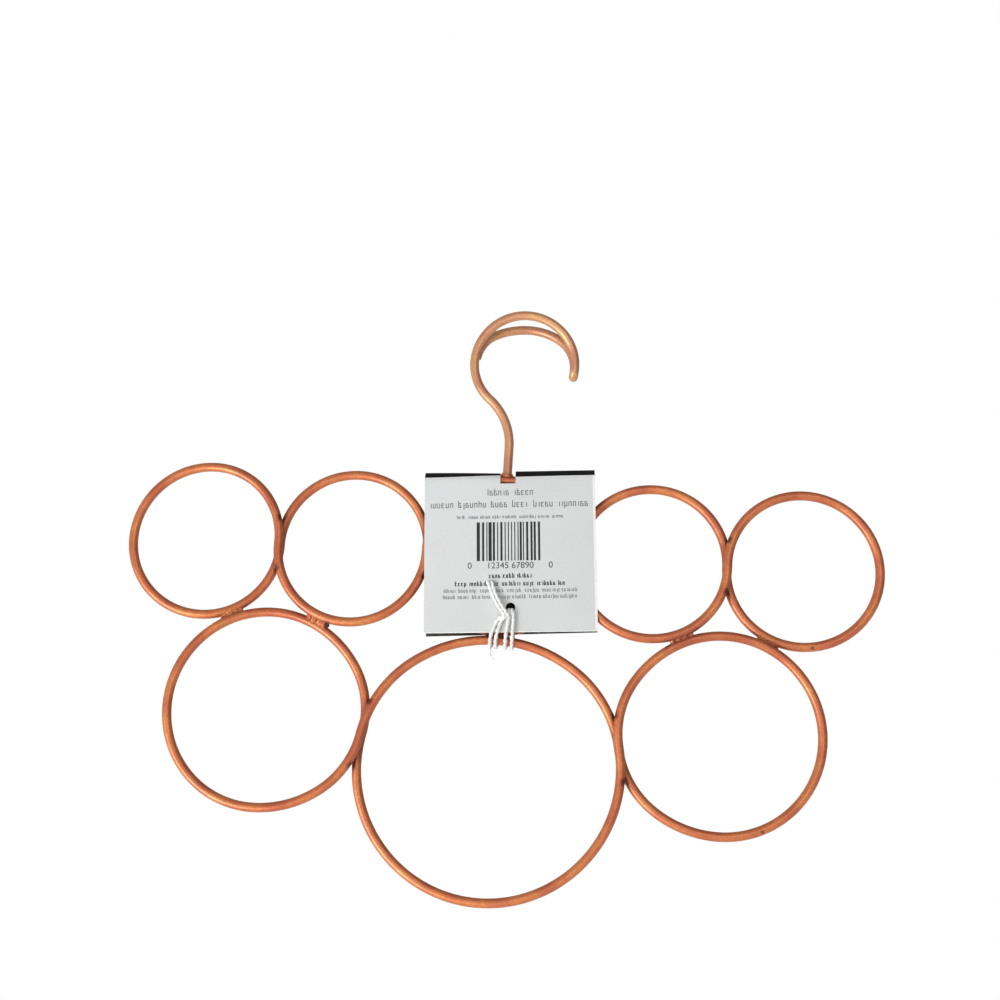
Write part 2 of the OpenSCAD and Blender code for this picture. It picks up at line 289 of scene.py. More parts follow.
def add_tube(bm, route, radius, sides=24, lobes=0, twist=0.0):
    """A tube along points and headings. radius is a number or a function of the share of the length.
    With lobes its section is plied, and turns by twist degrees a millimetre."""
    points = [place(p) for p, _ in route]
    lengths = [0.0]
    for p, q in zip(points, points[1:]):
        lengths.append(lengths[-1] + (q - p).length / MM)
    heading = route[0][1].normalized()
    n = heading.orthogonal().normalized()
    rings = []
    for i, (p, (_, v)) in enumerate(zip(points, route)):
        n = (heading.rotation_difference(v.normalized()) @ n).normalized()
        heading = v.normalized()
        m = heading.cross(n)
        share = lengths[i] / lengths[-1]
        r = (radius(share) if callable(radius) else radius) * MM
        turn = math.radians(twist * lengths[i])
        ring = []
        for k in range(sides):
            t = 2 * math.pi * k / sides
            ply = 1 + (PLY_DEEP * math.cos(lobes * (t - turn)) - PLY_THIN if lobes else 0)
            ring.append(bm.verts.new(p + r * ply * (math.cos(t) * n + math.sin(t) * m)))
        rings.append(ring)
    for a, b in zip(rings, rings[1:]):
        for k in range(sides):
            j = (k + 1) % sides
            bm.faces.new((a[k], a[j], b[j], b[k]))
    bm.faces.new(list(reversed(rings[0])))
    bm.faces.new(rings[-1])


def mesh_from(bm, name):
    bmesh.ops.recalc_face_normals(bm, faces=bm.faces)
    mesh = bpy.data.meshes.new(name)
    bm.to_mesh(mesh)
    bm.free()
    return mesh


def bake_modifiers(obj):
    """Replaces the object's mesh by what its modifiers make of it."""
    bpy.context.view_layer.update()
    shown = obj.evaluated_get(bpy.context.evaluated_depsgraph_get())
    mesh = bpy.data.meshes.new_from_object(shown)
    obj.modifiers.clear()
    old = obj.data
    obj.data = mesh
    bpy.data.meshes.remove(old)


# Materials

def node(tree, kind, **values):
    n = tree.nodes.new(kind)
    for key, value in values.items():
        if key in n.inputs:
            n.inputs[key].default_value = value
        else:
            setattr(n, key, value)
    return n


def new_material(name):
    material = bpy.data.materials.new(name)
    material.use_nodes = True
    tree = material.node_tree
    return material, tree, tree.nodes["Principled BSDF"]


def ramp(tree, source, stops):
    r = tree.nodes.new("ShaderNodeValToRGB")
    elements = r.color_ramp.elements
    while len(elements) < len(stops):
        elements.new(0.5)
    for element, (at, colour) in zip(elements, stops):
        element.position = at
        element.color = (*colour, 1)
    tree.links.new(source, r.inputs["Fac"])
    return r.outputs["Color"]


def noise_of(tree, scale, detail=3.0, roughness=0.55):
    coordinates = node(tree, "ShaderNodeTexCoord")
    n = node(tree, "ShaderNodeTexNoise", Scale=scale, Detail=detail, Roughness=roughness)
    tree.links.new(coordinates.outputs["Object"], n.inputs["Vector"])
    return n.outputs["Fac"]


def mix_colour(tree, factor, a, b):
    m = node(tree, "ShaderNodeMix", data_type="RGBA")
    tree.links.new(factor, m.inputs["Factor"])
    for socket, value in ((m.inputs[6], a), (m.inputs[7], b)):
        if isinstance(value, tuple):
            socket.default_value = (*value, 1)
        else:
            tree.links.new(value, socket)
    return m.outputs[2]


def bump(tree, shader, height, strength, distance):
    b = node(tree, "ShaderNodeBump", Strength=strength, Distance=distance)
    tree.links.new(height, b.inputs["Height"])
    tree.links.new(b.outputs["Normal"], shader.inputs["Normal"])


def copper(name, colours, shade_and_pit_colour, roughness, bump_strength):
    """A satin copper coat, darker where a mesh attribute marks painted shade in crevices and the coat's dark
    pits.
    """
    material, tree, shader = new_material(name)
    shader.inputs["Metallic"].default_value = 0.5
    shader.inputs["Coat Weight"].default_value = 0.3
    shader.inputs["Coat Roughness"].default_value = 0.28
    coat = ramp(tree, noise_of(tree, 70, 2.5), [(0.36, colours[0]), (0.5, colours[1]), (0.64, colours[2])])
    mottle = ramp(tree, noise_of(tree, 700, 2.0), [(0.38, (0, 0, 0)), (0.62, (0.45, 0.45, 0.45))])
    coat = mix_colour(tree, mottle, coat, colours[0])
    speck = ramp(tree, noise_of(tree, 1900, 2.0), [(0.66, (0, 0, 0)), (0.74, (0.5, 0.5, 0.5))])
    coat = mix_colour(tree, speck, coat, tuple(0.6 * c for c in colours[0]))
    # The attribute blends in the dark colour: painted shade where wires touch or part and in weld hollows,
    # and the dark of the pits
    crevice = node(tree, "ShaderNodeAttribute", attribute_name="crevice")
    coat = mix_colour(tree, crevice.outputs["Fac"], coat, shade_and_pit_colour)
    tree.links.new(coat, shader.inputs["Base Color"])
    rough = ramp(tree, noise_of(tree, 400, 3.0), [(0.3, (roughness[0],) * 3), (0.7, (roughness[1],) * 3)])
    tree.links.new(rough, shader.inputs["Roughness"])
    bump(tree, shader, noise_of(tree, 900, 4.0, 0.6), bump_strength, 0.0002)
    return material


# The third colour of each coat is its painted shade colour, also used for the pits
wire_copper = copper("wire_copper", [(0.50, 0.12, 0.045), (0.61, 0.175, 0.06), (0.69, 0.235, 0.07)],
                     (0.11, 0.014, 0.006), (0.36, 0.48), 0.2)
hook_copper = copper("hook_copper", [(0.58, 0.25, 0.135), (0.67, 0.32, 0.155), (0.71, 0.37, 0.16)],
                     (0.16, 0.03, 0.012), (0.36, 0.46), 0.14)
weld_copper = copper("weld_copper", [(0.38, 0.08, 0.03), (0.58, 0.16, 0.05), (0.68, 0.23, 0.065)],
                     (0.06, 0.007, 0.004), (0.40, 0.56), 0.55)


# Wires and welds

# The wires' skins lie a little inside the CAD's wires and vary in thickness
SKIN_SHARE = 0.988
SKIN_VARY = 0.012
SKIN_WAVES = 60
END_EASE = 25
# Painted contact shade: how fast it fades away from another wire, the gap taken as touching, and how near a
# row's own ends none is painted
CONTACT_SHADE_FADE = 1.5
TOUCH = 0.25
ENDS_MEET = 5
# Two small dark pits in the coat
COAT_PITS = [
    ("upper_wire_mid_bottom", vec(146.1, -2.3, -37)),
    ("lower_wire_big_top", vec(125, -3.4, -121)),
]
PIT_R = 0.9
PIT_EDGE = 1.3
PIT_DEEP = 0.25
# Painted shade where two wires part, and how far from the middle of a weld between the rows that is
JOINT_SHADE_R = 2.4
ROW_SHADE_R = 2.1
NOTCH_SHADE_DARK = 1.6
ROW_WELD_PART = 7.4
# The lengths of the welds, how far the wires fused with them run past them, and their blobs
UPPER_JOINT_WELD = 7.5
LOWER_JOINT_WELD = 8.5
ROW_WELD = 10
MIDDLE_WELD = 9
FOOT_WELD = 3.6
FOOT_WELD_UP = 0.3
ARM_WELD = 7
ROUGH_WELD_SHIFT = 2.5
WELD_RUN_OUT = 4
WELD_WIRE_SHARE = 0.975
WELD_VOXEL = 0.33
WELD_SPREAD = 1.5
WELD_RISE = 0.06
WELD_SINK = 0.05
BLOB_SCATTER = 1.6
BLOB_TAPER = 0.7
BLOB_SIZES = (0.82, 1.12)
# Painted shade in the welds' hollows: how dark per millimetre of hollow, less a small offset
HOLLOW_SHADE = 5
HOLLOW_LEAST = 0.1


def parting(r1, r2):
    """How far from their crossing the outlines of two touching loops part."""
    return math.sqrt(2 * WIRE_D * r1 * r2 / (r1 + r2))


def notch_shade_spots():
    """Where painted shade lies in the notches between two wires that part, with its reach, all in the plane
    of the loops.
    """
    spots = []
    for x in (-1.5, -0.5, 0.5, 1.5):
        for side in (-1, 1):
            spots.append((vec(x * LOOP_PITCH, 0, side * parting(LOOP_R, LOOP_R)), JOINT_SHADE_R))
    for s in (-1, 1):
        for side in (-1, 1):
            p = vec(s * JOIN_X, 0, JOIN_Z) + side * parting(SIDE_R, BIG_R) * joint_line(s)
            spots.append((p, JOINT_SHADE_R))
        for t in (-1, 1):
            p, along = row_touch(s, t)
            for side in (-1, 1):
                spots.append((p + side * ROW_WELD_PART * along, ROW_SHADE_R))
    return [(place(p), reach * MM) for p, reach in spots]


def coordinates(mesh):
    flat = np.empty(3 * len(mesh.vertices))
    mesh.vertices.foreach_get("co", flat)
    return flat.reshape(-1, 3)


def notch_shade(mesh):
    """How much painted notch shade each vertex gets from the shade spots, from 0 to 1."""
    points = coordinates(mesh)
    value = np.zeros(len(points))
    for p, reach in notch_shade_spots():
        away = np.hypot(points[:, 0] - p.x, points[:, 2] - p.z) / reach
        value = np.maximum(value, np.clip(NOTCH_SHADE_DARK * (1 - away), 0, 1))
    return value


# Writes the attribute that carries painted shade and the pits' dark
def set_shade_and_pits(mesh, values):
    attribute = mesh.attributes.new("crevice", "FLOAT", "POINT")
    attribute.data.foreach_set("value", np.clip(values, 0, 1))


def mark_shade_and_pits(name, obj, others):
    """Writes painted contact shade from how near each vertex lies to the other wires, 1 where they touch,
    with the painted notch shade and the coat's dark pits. The two wires of a row run into each other
    at its far ends, so nothing is marked there."""
    tree = kdtree.KDTree(sum(len(o.data.vertices) for o in others))
    for o in others:
        for v in o.data.vertices:
            tree.insert(v.co, 0)
    tree.balance()
    ends = [] if name == "hook_wire" else [place(WIRES[name][0][0]), place(WIRES[name][-1][0])]
    pits = []
    for n, p in COAT_PITS:
        if n == name:
            nearest = min((v.co for v in obj.data.vertices), key=lambda co: (co - place(p)).length)
            pits.append(nearest.copy())
    values = notch_shade(obj.data)
    for v in obj.data.vertices:
        near = max(0.0, tree.find(v.co)[2] / MM - TOUCH)
        value = max(values[v.index], math.exp(-near / CONTACT_SHADE_FADE))
        if any((v.co - end).length < ENDS_MEET * MM for end in ends):
            value = 0.0
        for pit in pits:
            away = (v.co - pit).length / (PIT_R * MM)
            if away < PIT_EDGE:
                value = max(value, PIT_EDGE - away)
                v.co -= v.normal * PIT_DEEP * MM * max(0.0, 1 - away)
        values[v.index] = value
    set_shade_and_pits(obj.data, values)


def uneven(seed):
    """The wire's radius, drawn a little thinner here and there."""
    def radius(share):
        ease = min(1.0, END_EASE * share, END_EASE * (1 - share))
        return WIRE_R * (SKIN_SHARE + SKIN_VARY * ease * noise.noise(Vector((share * SKIN_WAVES, seed, 0))))
    return radius


def make_wires():
    made = {}
    for i, (name, route) in enumerate(WIRES.items()):
        bm = bmesh.new()
        add_tube(bm, route, uneven(3 + i), sides=28)
        mesh = mesh_from(bm, name + "_skin")
        smooth_with_edges(mesh)
        obj = new_object(name + "_skin", mesh, hook_copper if name == "hook_wire" else wire_copper)
        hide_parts(name)
        made[name] = obj
    for name, obj in made.items():
        mark_shade_and_pits(name, obj, [o for n, o in made.items() if n != name])


def near_stretch(route, centre, reach):
    """The stretch of a route that passes a point within reach."""
    return [(p, v) for p, v in route if (p - centre).length < reach]


def hollowness(mesh, steps=6):
    """How far each vertex lies in a hollow, in millimetres, from where its neighbours lead."""
    edges = np.empty(2 * len(mesh.edges), dtype=int)
    mesh.edges.foreach_get("vertices", edges)
    a, b = edges.reshape(-1, 2).T
    points = coordinates(mesh)
    count = len(points)
    near = (np.bincount(a, minlength=count) + np.bincount(b, minlength=count))[:, None]
    flow = points.copy()
    for _ in range(steps):
        total = [np.bincount(a, flow[b, k], count) + np.bincount(b, flow[a, k], count) for k in range(3)]
        flow = np.stack(total, axis=1) / near
    normals = np.empty(3 * count)
    mesh.vertices.foreach_get("normal", normals)
    return ((flow - points) * normals.reshape(-1, 3)).sum(axis=1) / MM


def make_weld(name, replaced, centre, along, length, wires, width=1.5, lumps=9, crust=0.22, seed=1):
    """A run of weld metal between wires. Blobs along its line are fused with the wires' own
    stretches, smoothed so that the metal runs out on the wires, and roughened."""
    rng = random.Random(seed)
    along = along.normalized()
    bm = bmesh.new()
    for wire in wires:
        stretch = near_stretch(WIRES[wire], centre, length * 0.5 + WELD_RUN_OUT)
        if len(stretch) > 1:
            add_tube(bm, stretch, WIRE_R * WELD_WIRE_SHARE, sides=20)
    for i in range(lumps):
        t = (i + 0.5) / lumps - 0.5
        shift = vec(*(rng.uniform(-1, 1) for _ in range(3))) * crust * BLOB_SCATTER
        size = width * (1 - BLOB_TAPER * abs(t)) * rng.uniform(*BLOB_SIZES)
        place_at = Matrix.Translation(place(centre + along * t * length + shift))
        bmesh.ops.create_icosphere(bm, subdivisions=2, radius=size * MM, matrix=place_at)
    obj = new_object(name, mesh_from(bm, name), weld_copper)
    remesh = obj.modifiers.new("fuse", "REMESH")
    remesh.mode = "VOXEL"
    remesh.voxel_size = WELD_VOXEL * MM
    relax = obj.modifiers.new("relax", "SMOOTH")
    relax.factor = 0.5
    relax.iterations = 4
    bake_modifiers(obj)
    spread = length * 0.5 + WELD_SPREAD
    for v in obj.data.vertices:
        p = v.co / MM + SEAT
        away = max(0.0, 1 - (p - centre).length / spread)
        bumps = noise.fractal(p * 0.9, 0.7, 2.0, 3)
        v.co += v.normal * MM * (WELD_RISE * away - WELD_SINK + crust * away * bumps)
    smooth(obj.data)
    # Painted shade in the weld's hollows and in the notches where the wires part
    hollows = HOLLOW_SHADE * hollowness(obj.data) - HOLLOW_LEAST
    set_shade_and_pits(obj.data, np.maximum(hollows, notch_shade(obj.data)))
    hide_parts(replaced)


def upper_depth(x):
    """How far the upper row's wires lie in front of and behind the plane of the loops at x."""
    return DEPTH * min(1.0, (2.5 * LOOP_PITCH - abs(x)) / LOOP_PITCH)


def lower_depth(x):
    """How far behind that plane the wire over a side loop lies at x."""
    return -math.copysign(DEPTH / (END_X - JOIN_X), x) * (END_X - abs(x))


def make_welds():
    upper = ["upper_wire_mid_top", "upper_wire_mid_bottom"]
    lower = ["lower_wire_big_top", "lower_wire_big_bottom"]
    for i, x in enumerate((-1.5, -0.5, 0.5, 1.5)):
        make_weld(f"upper_joint_weld_{i + 1}", "upper_joint_welds", vec(x * LOOP_PITCH, 0, 0), UP,
                  UPPER_JOINT_WELD, upper, width=1.35, seed=10 + i)
    for s, side in ((-1, "left"), (1, "right")):
        make_weld(f"lower_joint_weld_{side}", "lower_joint_welds", vec(s * JOIN_X, 0, JOIN_Z), joint_line(s),
                  LOWER_JOINT_WELD, lower, width=1.35, seed=20 + s)
    for s in (-1, 1):
        for t in (-1, 1):
            p, along = row_touch(s, t)
            p.y = ((1 if s * t > 0 else -1) * upper_depth(p.x) + lower_depth(p.x)) / 2
            rough = s < 0 < t
            if rough:
                p += ROUGH_WELD_SHIFT * along
            make_weld(f"row_weld_{3 * s + t + 5}", "row_welds", p, along, ROW_WELD, upper + lower,
                      width=1.9 if rough else 1.6, crust=0.42 if rough else 0.26, lumps=11,
                      seed=30 + 3 * s + t)
    make_weld("row_weld_middle", "row_welds", vec(0, DEPTH / 2, -MID_TOP - WIRE_STEP / 2), RIGHT,
              MIDDLE_WELD, upper + lower, seed=41)
    foot = vec(STEM_OFF, -DEPTH, MID_TOP + WIRE_R + FOOT_WELD_UP)
    make_weld("hook_foot_weld_skin", "hook_foot_weld", foot, RIGHT, FOOT_WELD,
              ["upper_wire_mid_top", "hook_wire"], width=2.0, lumps=5, crust=0.15, seed=51)
    angle = 180 - ARM_END
    arm_end = on_circle(HOOK_X, HOOK_Z, HOOK_R - END_INSET / 2, angle, 0)
    make_weld("hook_arm_weld_skin", "hook_arm_weld", arm_end, ccw(angle), ARM_WELD, ["hook_wire"],
              width=1.9, lumps=7, crust=0.1, seed=61)


# Card

SHEET_R = CARD_IN_R + CARD_T / 2
PANEL = FOLD_Z - CARD_BOTTOM
TURN = math.pi * SHEET_R
FRONT_BOW = 0.25
BACK_BOW = 0.6
BACK_RISE = 0.9
FOLD_DENT = 1.0
# How far up the fold the black of the back starts, and how much is added to that by the notch
CREASE = 1.7
CREASE_BY_NOTCH_LEFT = 1.6
CREASE_BY_NOTCH_RIGHT = -0.3
CREASE_FLAT = 0.4
CREASE_EASE = 5.5
DENT_POWER = 1.5
CRACK_W = 0.3
# White bands along the front's right and lower edges: the board's white core, spread onto the face as a
# painted highlight of the lit edges
SIDE_MARGIN = 1.1
LOWER_MARGIN = 0.4
PRINT_LIFT = 0.03
# The string pulls the back panel so that its hole sits lower, and no light shows through both holes
BACK_HOLE_R = 1.7
BACK_HOLE_DROP = 0.8
# The spacing of the sheet's rows on the panels, up to the crease and on the fold, and of its columns
PANEL_STEP = 4
CREASE_STEP = 0.7
FOLD_STEP = 0.45
COLUMN_STEP = 1.6
TINY = 0.01
CUT_REACH = 20
CUT_OVER = 5


def toward_notch(x):
    """0 at the card's left or right end and 1 at the notch."""
    end = CARD_MID + math.copysign(CARD_W / 2, x - NOTCH_X)
    return 1 - min(1.0, (x - NOTCH_X) / (end - NOTCH_X))


def card_point(x, s, lift):
    """A point of the card. s runs from the front's lower edge over the fold to the back's, and lift is
    how far outside the sheet's middle the point lies. The panels bow a little and the fold is dented."""
    if s < PANEL:
        p = vec(x, -SHEET_R - lift - FRONT_BOW * math.sin(math.pi * s / PANEL), CARD_BOTTOM + s)
    elif s < PANEL + TURN:
        t = (s - PANEL) / SHEET_R
        dent = FOLD_DENT * toward_notch(x) ** DENT_POWER if x < NOTCH_X else 0
        r = SHEET_R + lift
        p = vec(x, -r * math.cos(t), FOLD_Z + (r - dent) * math.sin(t))
    else:
        down = s - PANEL - TURN
        rise = BACK_RISE * (x - CARD_MID + CARD_W / 2) / CARD_W * down / PANEL
        p = vec(x, SHEET_R + lift + BACK_BOW * math.sin(math.pi * down / PANEL), FOLD_Z - down + rise)
    return place(Matrix.Rotation(-LEAN, 3, "Y") @ p)


def crease_shift(x):
    """How much further up the fold the crease lies at x than at the card's sides."""
    by_notch = CREASE_BY_NOTCH_LEFT if x < NOTCH_X else CREASE_BY_NOTCH_RIGHT
    return by_notch * toward_notch(x) ** DENT_POWER


def steps(start, end, size):
    """Evenly spaced values from start, without end, about size apart."""
    count = max(1, round((end - start) / size))
    return [start + (end - start) * i / count for i in range(count)]


def cutter(name, mesh):
    obj = bpy.data.objects.new(name, mesh)
    bpy.context.scene.collection.objects.link(obj)
    return obj


def cut_box(low, high):
    """A box in the card's own directions, to cut with."""
    bm = bmesh.new()
    bmesh.ops.create_cube(bm, size=1)
    for v in bm.verts:
        corner = vec(*(lo if c < 0 else hi for c, lo, hi in zip(v.co, low, high)))
        v.co = place(Matrix.Rotation(-LEAN, 3, "Y") @ corner)
    return mesh_from(bm, "notch_cut")


def cut_hole(x, side, z, r):
    """A round cut through one panel, with side -1 for the front and 1 for the back."""
    bm = bmesh.new()
    bmesh.ops.create_cone(bm, cap_ends=True, segments=40, radius1=r, radius2=r, depth=CARD_OUT_R)
    for v in bm.verts:
        corner = vec(x + v.co.x, side * CARD_OUT_R + v.co.z, z + v.co.y)
        v.co = place(Matrix.Rotation(-LEAN, 3, "Y") @ corner)
    return mesh_from(bm, "hole_cut")


def paper(name, dark, pale, scale, roughness, grain, specular=0.5):
    """A sheet or ink of two close tones, with a fine grain."""
    material, tree, shader = new_material(name)
    tone = ramp(tree, noise_of(tree, scale, 2.0), [(0.35, dark), (0.65, pale)])
    fibre = ramp(tree, noise_of(tree, 1500, 3.0), [(0.4, (0.95, 0.95, 0.95)), (0.6, (1, 1, 1))])
    m = node(tree, "ShaderNodeMix", data_type="RGBA", blend_type="MULTIPLY")
    m.inputs["Factor"].default_value = 1
    tree.links.new(tone, m.inputs[6])
    tree.links.new(fibre, m.inputs[7])
    tree.links.new(m.outputs[2], shader.inputs["Base Color"])
    smoother, rougher = (roughness - 0.05,) * 3, (roughness + 0.05,) * 3
    rough = ramp(tree, noise_of(tree, 300), [(0.3, smoother), (0.7, rougher)])
    tree.links.new(rough, shader.inputs["Roughness"])
    shader.inputs["Specular IOR Level"].default_value = specular
    bump(tree, shader, noise_of(tree, 900, 3.0), grain, 0.0001)
    return material


# The sheet's finishes. The inside is painted near black as shade inside the fold
FACE, BLACK, CORE, SHADED_INSIDE = range(4)


def sheet_rows(crease):
    """How far along the sheet its rows of vertices lie."""
    by_fold = PANEL - PANEL_STEP
    rows = [0, LOWER_MARGIN]
    rows += steps(LOWER_MARGIN, by_fold, PANEL_STEP)[1:]
    rows += steps(by_fold, crease - CRACK_W, CREASE_STEP)
    rows += [crease - CRACK_W] + steps(crease, PANEL + TURN, FOLD_STEP)
    rows += steps(PANEL + TURN, 2 * PANEL + TURN, PANEL_STEP) + [2 * PANEL + TURN]
    return rows


def sheet_columns():
    left = CARD_MID - CARD_W / 2
    margin = left + CARD_W - SIDE_MARGIN
    return [left] + steps(left + LOWER_MARGIN, margin, COLUMN_STEP) + [margin, left + CARD_W]


def outside_finish(s, crease, in_edge_highlight):
    """The finish of the sheet's outside at s: the face, the white crack and then the black. Along the
    front's right and lower edges the board's white is painted as a highlight of the lit edges.
    """
    if s < crease - CRACK_W - TINY:
        return CORE if in_edge_highlight else FACE
    return CORE if s < crease - TINY else BLACK


def sheet_side(bm, rows, columns, crease, lift):
    """One side of the sheet, as rows of vertices."""
    grid = []
    for s in rows:
        ease = max(0.0, 1 - max(0.0, abs(s - crease) - CREASE_FLAT) / CREASE_EASE)
        grid.append([bm.verts.new(card_point(x, s + ease * crease_shift(x), lift)) for x in columns])
    for i, (a, b) in enumerate(zip(grid, grid[1:])):
        for j in range(len(columns) - 1):
            f = bm.faces.new((a[j], a[j + 1], b[j + 1], b[j]))
            # The lowest row and the right column of the front show the board's white as a painted edge
            # highlight
            in_edge_highlight = i == 0 or j == len(columns) - 2
            # The sheet's inside gets the painted shade finish
            f.material_index = outside_finish(rows[i], crease, in_edge_highlight) if lift > 0 else SHADED_INSIDE
    return grid


def cut_card(obj):
    """Cuts the notch and the two holes."""
    notch_top = FOLD_Z + CARD_OUT_R
    hole_z = CARD_BOTTOM + HOLE_UP
    cuts = [
        cutter("notch_cut", cut_box((NOTCH_X - NOTCH_W / 2, -CUT_REACH, notch_top - NOTCH_H),
                                    (NOTCH_X + NOTCH_W / 2, CUT_REACH, notch_top + CUT_OVER))),
        cutter("front_hole_cut", cut_hole(CARD_MID, -1, hole_z, HOLE_D / 2)),
        cutter("back_hole_cut", cut_hole(CARD_MID, 1, hole_z - BACK_HOLE_DROP, BACK_HOLE_R)),
    ]
    for cut in cuts:
        for f in cut.data.polygons:
            f.material_index = CORE
        modifier = obj.modifiers.new(cut.name, "BOOLEAN")
        modifier.operation = "DIFFERENCE"
        modifier.object = cut
        modifier.solver = "FAST"
    bake_modifiers(obj)
    for cut in cuts:
        bpy.data.objects.remove(cut)


def make_card():
    """The folded sheet with its notch and holes. Its outside is pale in front and black from the
    crease on, its cut edges and a crack along the crease are white, and its inside is painted dark grey
    as shade."""
    materials = [
        paper("card_face", (0.66, 0.68, 0.665), (0.71, 0.73, 0.73), 16, 0.42, 0.06),
        paper("card_black", (0.004, 0.004, 0.005), (0.010, 0.010, 0.011), 250, 0.6, 0.1, 0.15),
        paper("card_core", (0.84, 0.84, 0.82), (0.94, 0.94, 0.93), 2500, 0.85, 0.4, 0.2),
        # The inside's near black is painted shade
        paper("card_inside_painted_shade", (0.05, 0.05, 0.048), (0.08, 0.08, 0.076), 400, 0.8, 0.2, 0.2),
    ]
    crease = PANEL + CREASE
    rows = sheet_rows(crease)
    columns = sheet_columns()
    bm = bmesh.new()
    outer = sheet_side(bm, rows, columns, crease, CARD_T / 2)
    inner = sheet_side(bm, rows, columns, crease, -CARD_T / 2)
    rims = [
        (outer[0], inner[0]),
        (outer[-1], inner[-1]),
        ([line[0] for line in outer], [line[0] for line in inner]),
        ([line[-1] for line in outer], [line[-1] for line in inner]),
    ]
    for a, b in rims:
        for i in range(len(a) - 1):
            f = bm.faces.new((a[i], a[i + 1], b[i + 1], b[i]))
            f.material_index = CORE
    obj = new_object("folded_card_skin", mesh_from(bm, "folded_card_skin"), materials[0])
    for material in materials[1:]:
        obj.data.materials.append(material)
    cut_card(obj)
    smooth_with_edges(obj.data)
    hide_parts("folded_card")


# Print

# A glyph's size: shares of the line's height, and the shares of glyphs that reach above and below it
GLYPH_PITCH = 0.62
X_HEIGHT = 0.7
FOOT_DROP = 0.28
TALL_GLYPHS = 0.22
DEEP_GLYPHS = 0.12
WORD_GAP = 0.9
GLYPH_W = 0.72
POST_AT = 0.35
POST_W = 0.6
BAR_UNITS = 62
BARS_HALF_W = 15.7
BARS_LOW = 33.8
BARS_HIGH = 52.4
NUMERALS_UP = 30.2
NUMERALS_SIZE = 4.2
NUMERALS_OUT = 19


def add_mark(bm, x0, z0, x1, z1):
    """A flat printed mark on the card's front, in the card's own directions."""
    corners = ((x0, z0), (x1, z0), (x1, z1), (x0, z1))
    lift = CARD_T / 2 + PRINT_LIFT
    bm.faces.new([bm.verts.new(card_point(x, z - CARD_BOTTOM, lift)) for x, z in corners])


def add_glyph(bm, rng, x, base, wide, high, stroke):
    """A meaningless block of strokes the size of one letter: posts with bars between them."""
    x_height = X_HEIGHT * high
    kind = rng.choice("pabcscpb")
    tall = high if rng.random() < TALL_GLYPHS else x_height
    foot = base - (FOOT_DROP * high if rng.random() < DEEP_GLYPHS else 0)
    if kind == "p":
        add_mark(bm, x + wide * POST_AT, foot, x + wide * POST_AT + stroke, base + tall)
        return wide * POST_W
    add_mark(bm, x, foot if kind == "b" else base, x + stroke, base + tall)
    if kind in "abc":
        add_mark(bm, x + wide - stroke, base, x + wide, base + x_height * (0.55 if kind == "c" else 1))
    if kind in "acs":
        add_mark(bm, x + stroke, base + x_height - stroke, x + wide - stroke * 0.5, base + x_height)
    if kind in "bcs":
        add_mark(bm, x + stroke, base, x + wide - stroke * 0.5, base + stroke)
    if kind in "cs":
        middle = base + x_height * 0.5
        add_mark(bm, x + stroke, middle, x + wide - stroke, middle + stroke * 0.8)
    return wide


def add_greeked_line(bm, rng, centre, base, width, high, words, stroke):
    """A line of meaningless glyphs in word-like groups, where the real card has text."""
    pitch = high * GLYPH_PITCH
    gap = pitch * WORD_GAP
    shares = [rng.uniform(0.6, 1.5) for _ in range(words)]
    room = width - gap * (words - 1)
    x = centre - width / 2
    for share in shares:
        end = x + room * share / sum(shares)
        while x < end - 0.4 * pitch:
            x += add_glyph(bm, rng, x, base, GLYPH_W * pitch, high, stroke) + (1 - GLYPH_W) * pitch
        x = end + gap


def add_bars(bm, rng, left, right, low, high):
    """Upright bars of seeded widths that stand for a bar code."""
    unit = (right - left) / BAR_UNITS
    x = left
    while x < right - unit:
        width = unit * rng.choice((1, 1, 2, 3, 4))
        add_mark(bm, x, low, min(x + width, right), high)
        x += width + unit * rng.choice((1, 1, 2, 2))


def add_numerals(material, name, text, x, base, size):
    """Plain counting numerals under the bars."""
    curve = bpy.data.curves.new(name, "FONT")
    curve.body = text
    curve.size = size
    curve.align_x = "CENTER"
    source = bpy.data.objects.new(name + "_text", curve)
    bpy.context.scene.collection.objects.link(source)
    bpy.context.view_layer.update()
    shown = source.evaluated_get(bpy.context.evaluated_depsgraph_get())
    mesh = bpy.data.meshes.new_from_object(shown)
    bpy.data.objects.remove(source)
    for v in mesh.vertices:
        v.co = card_point(x + v.co.x, base + v.co.y - CARD_BOTTOM, CARD_T / 2 + PRINT_LIFT)
    mesh.materials.clear()
    obj = new_object(name, mesh, material)


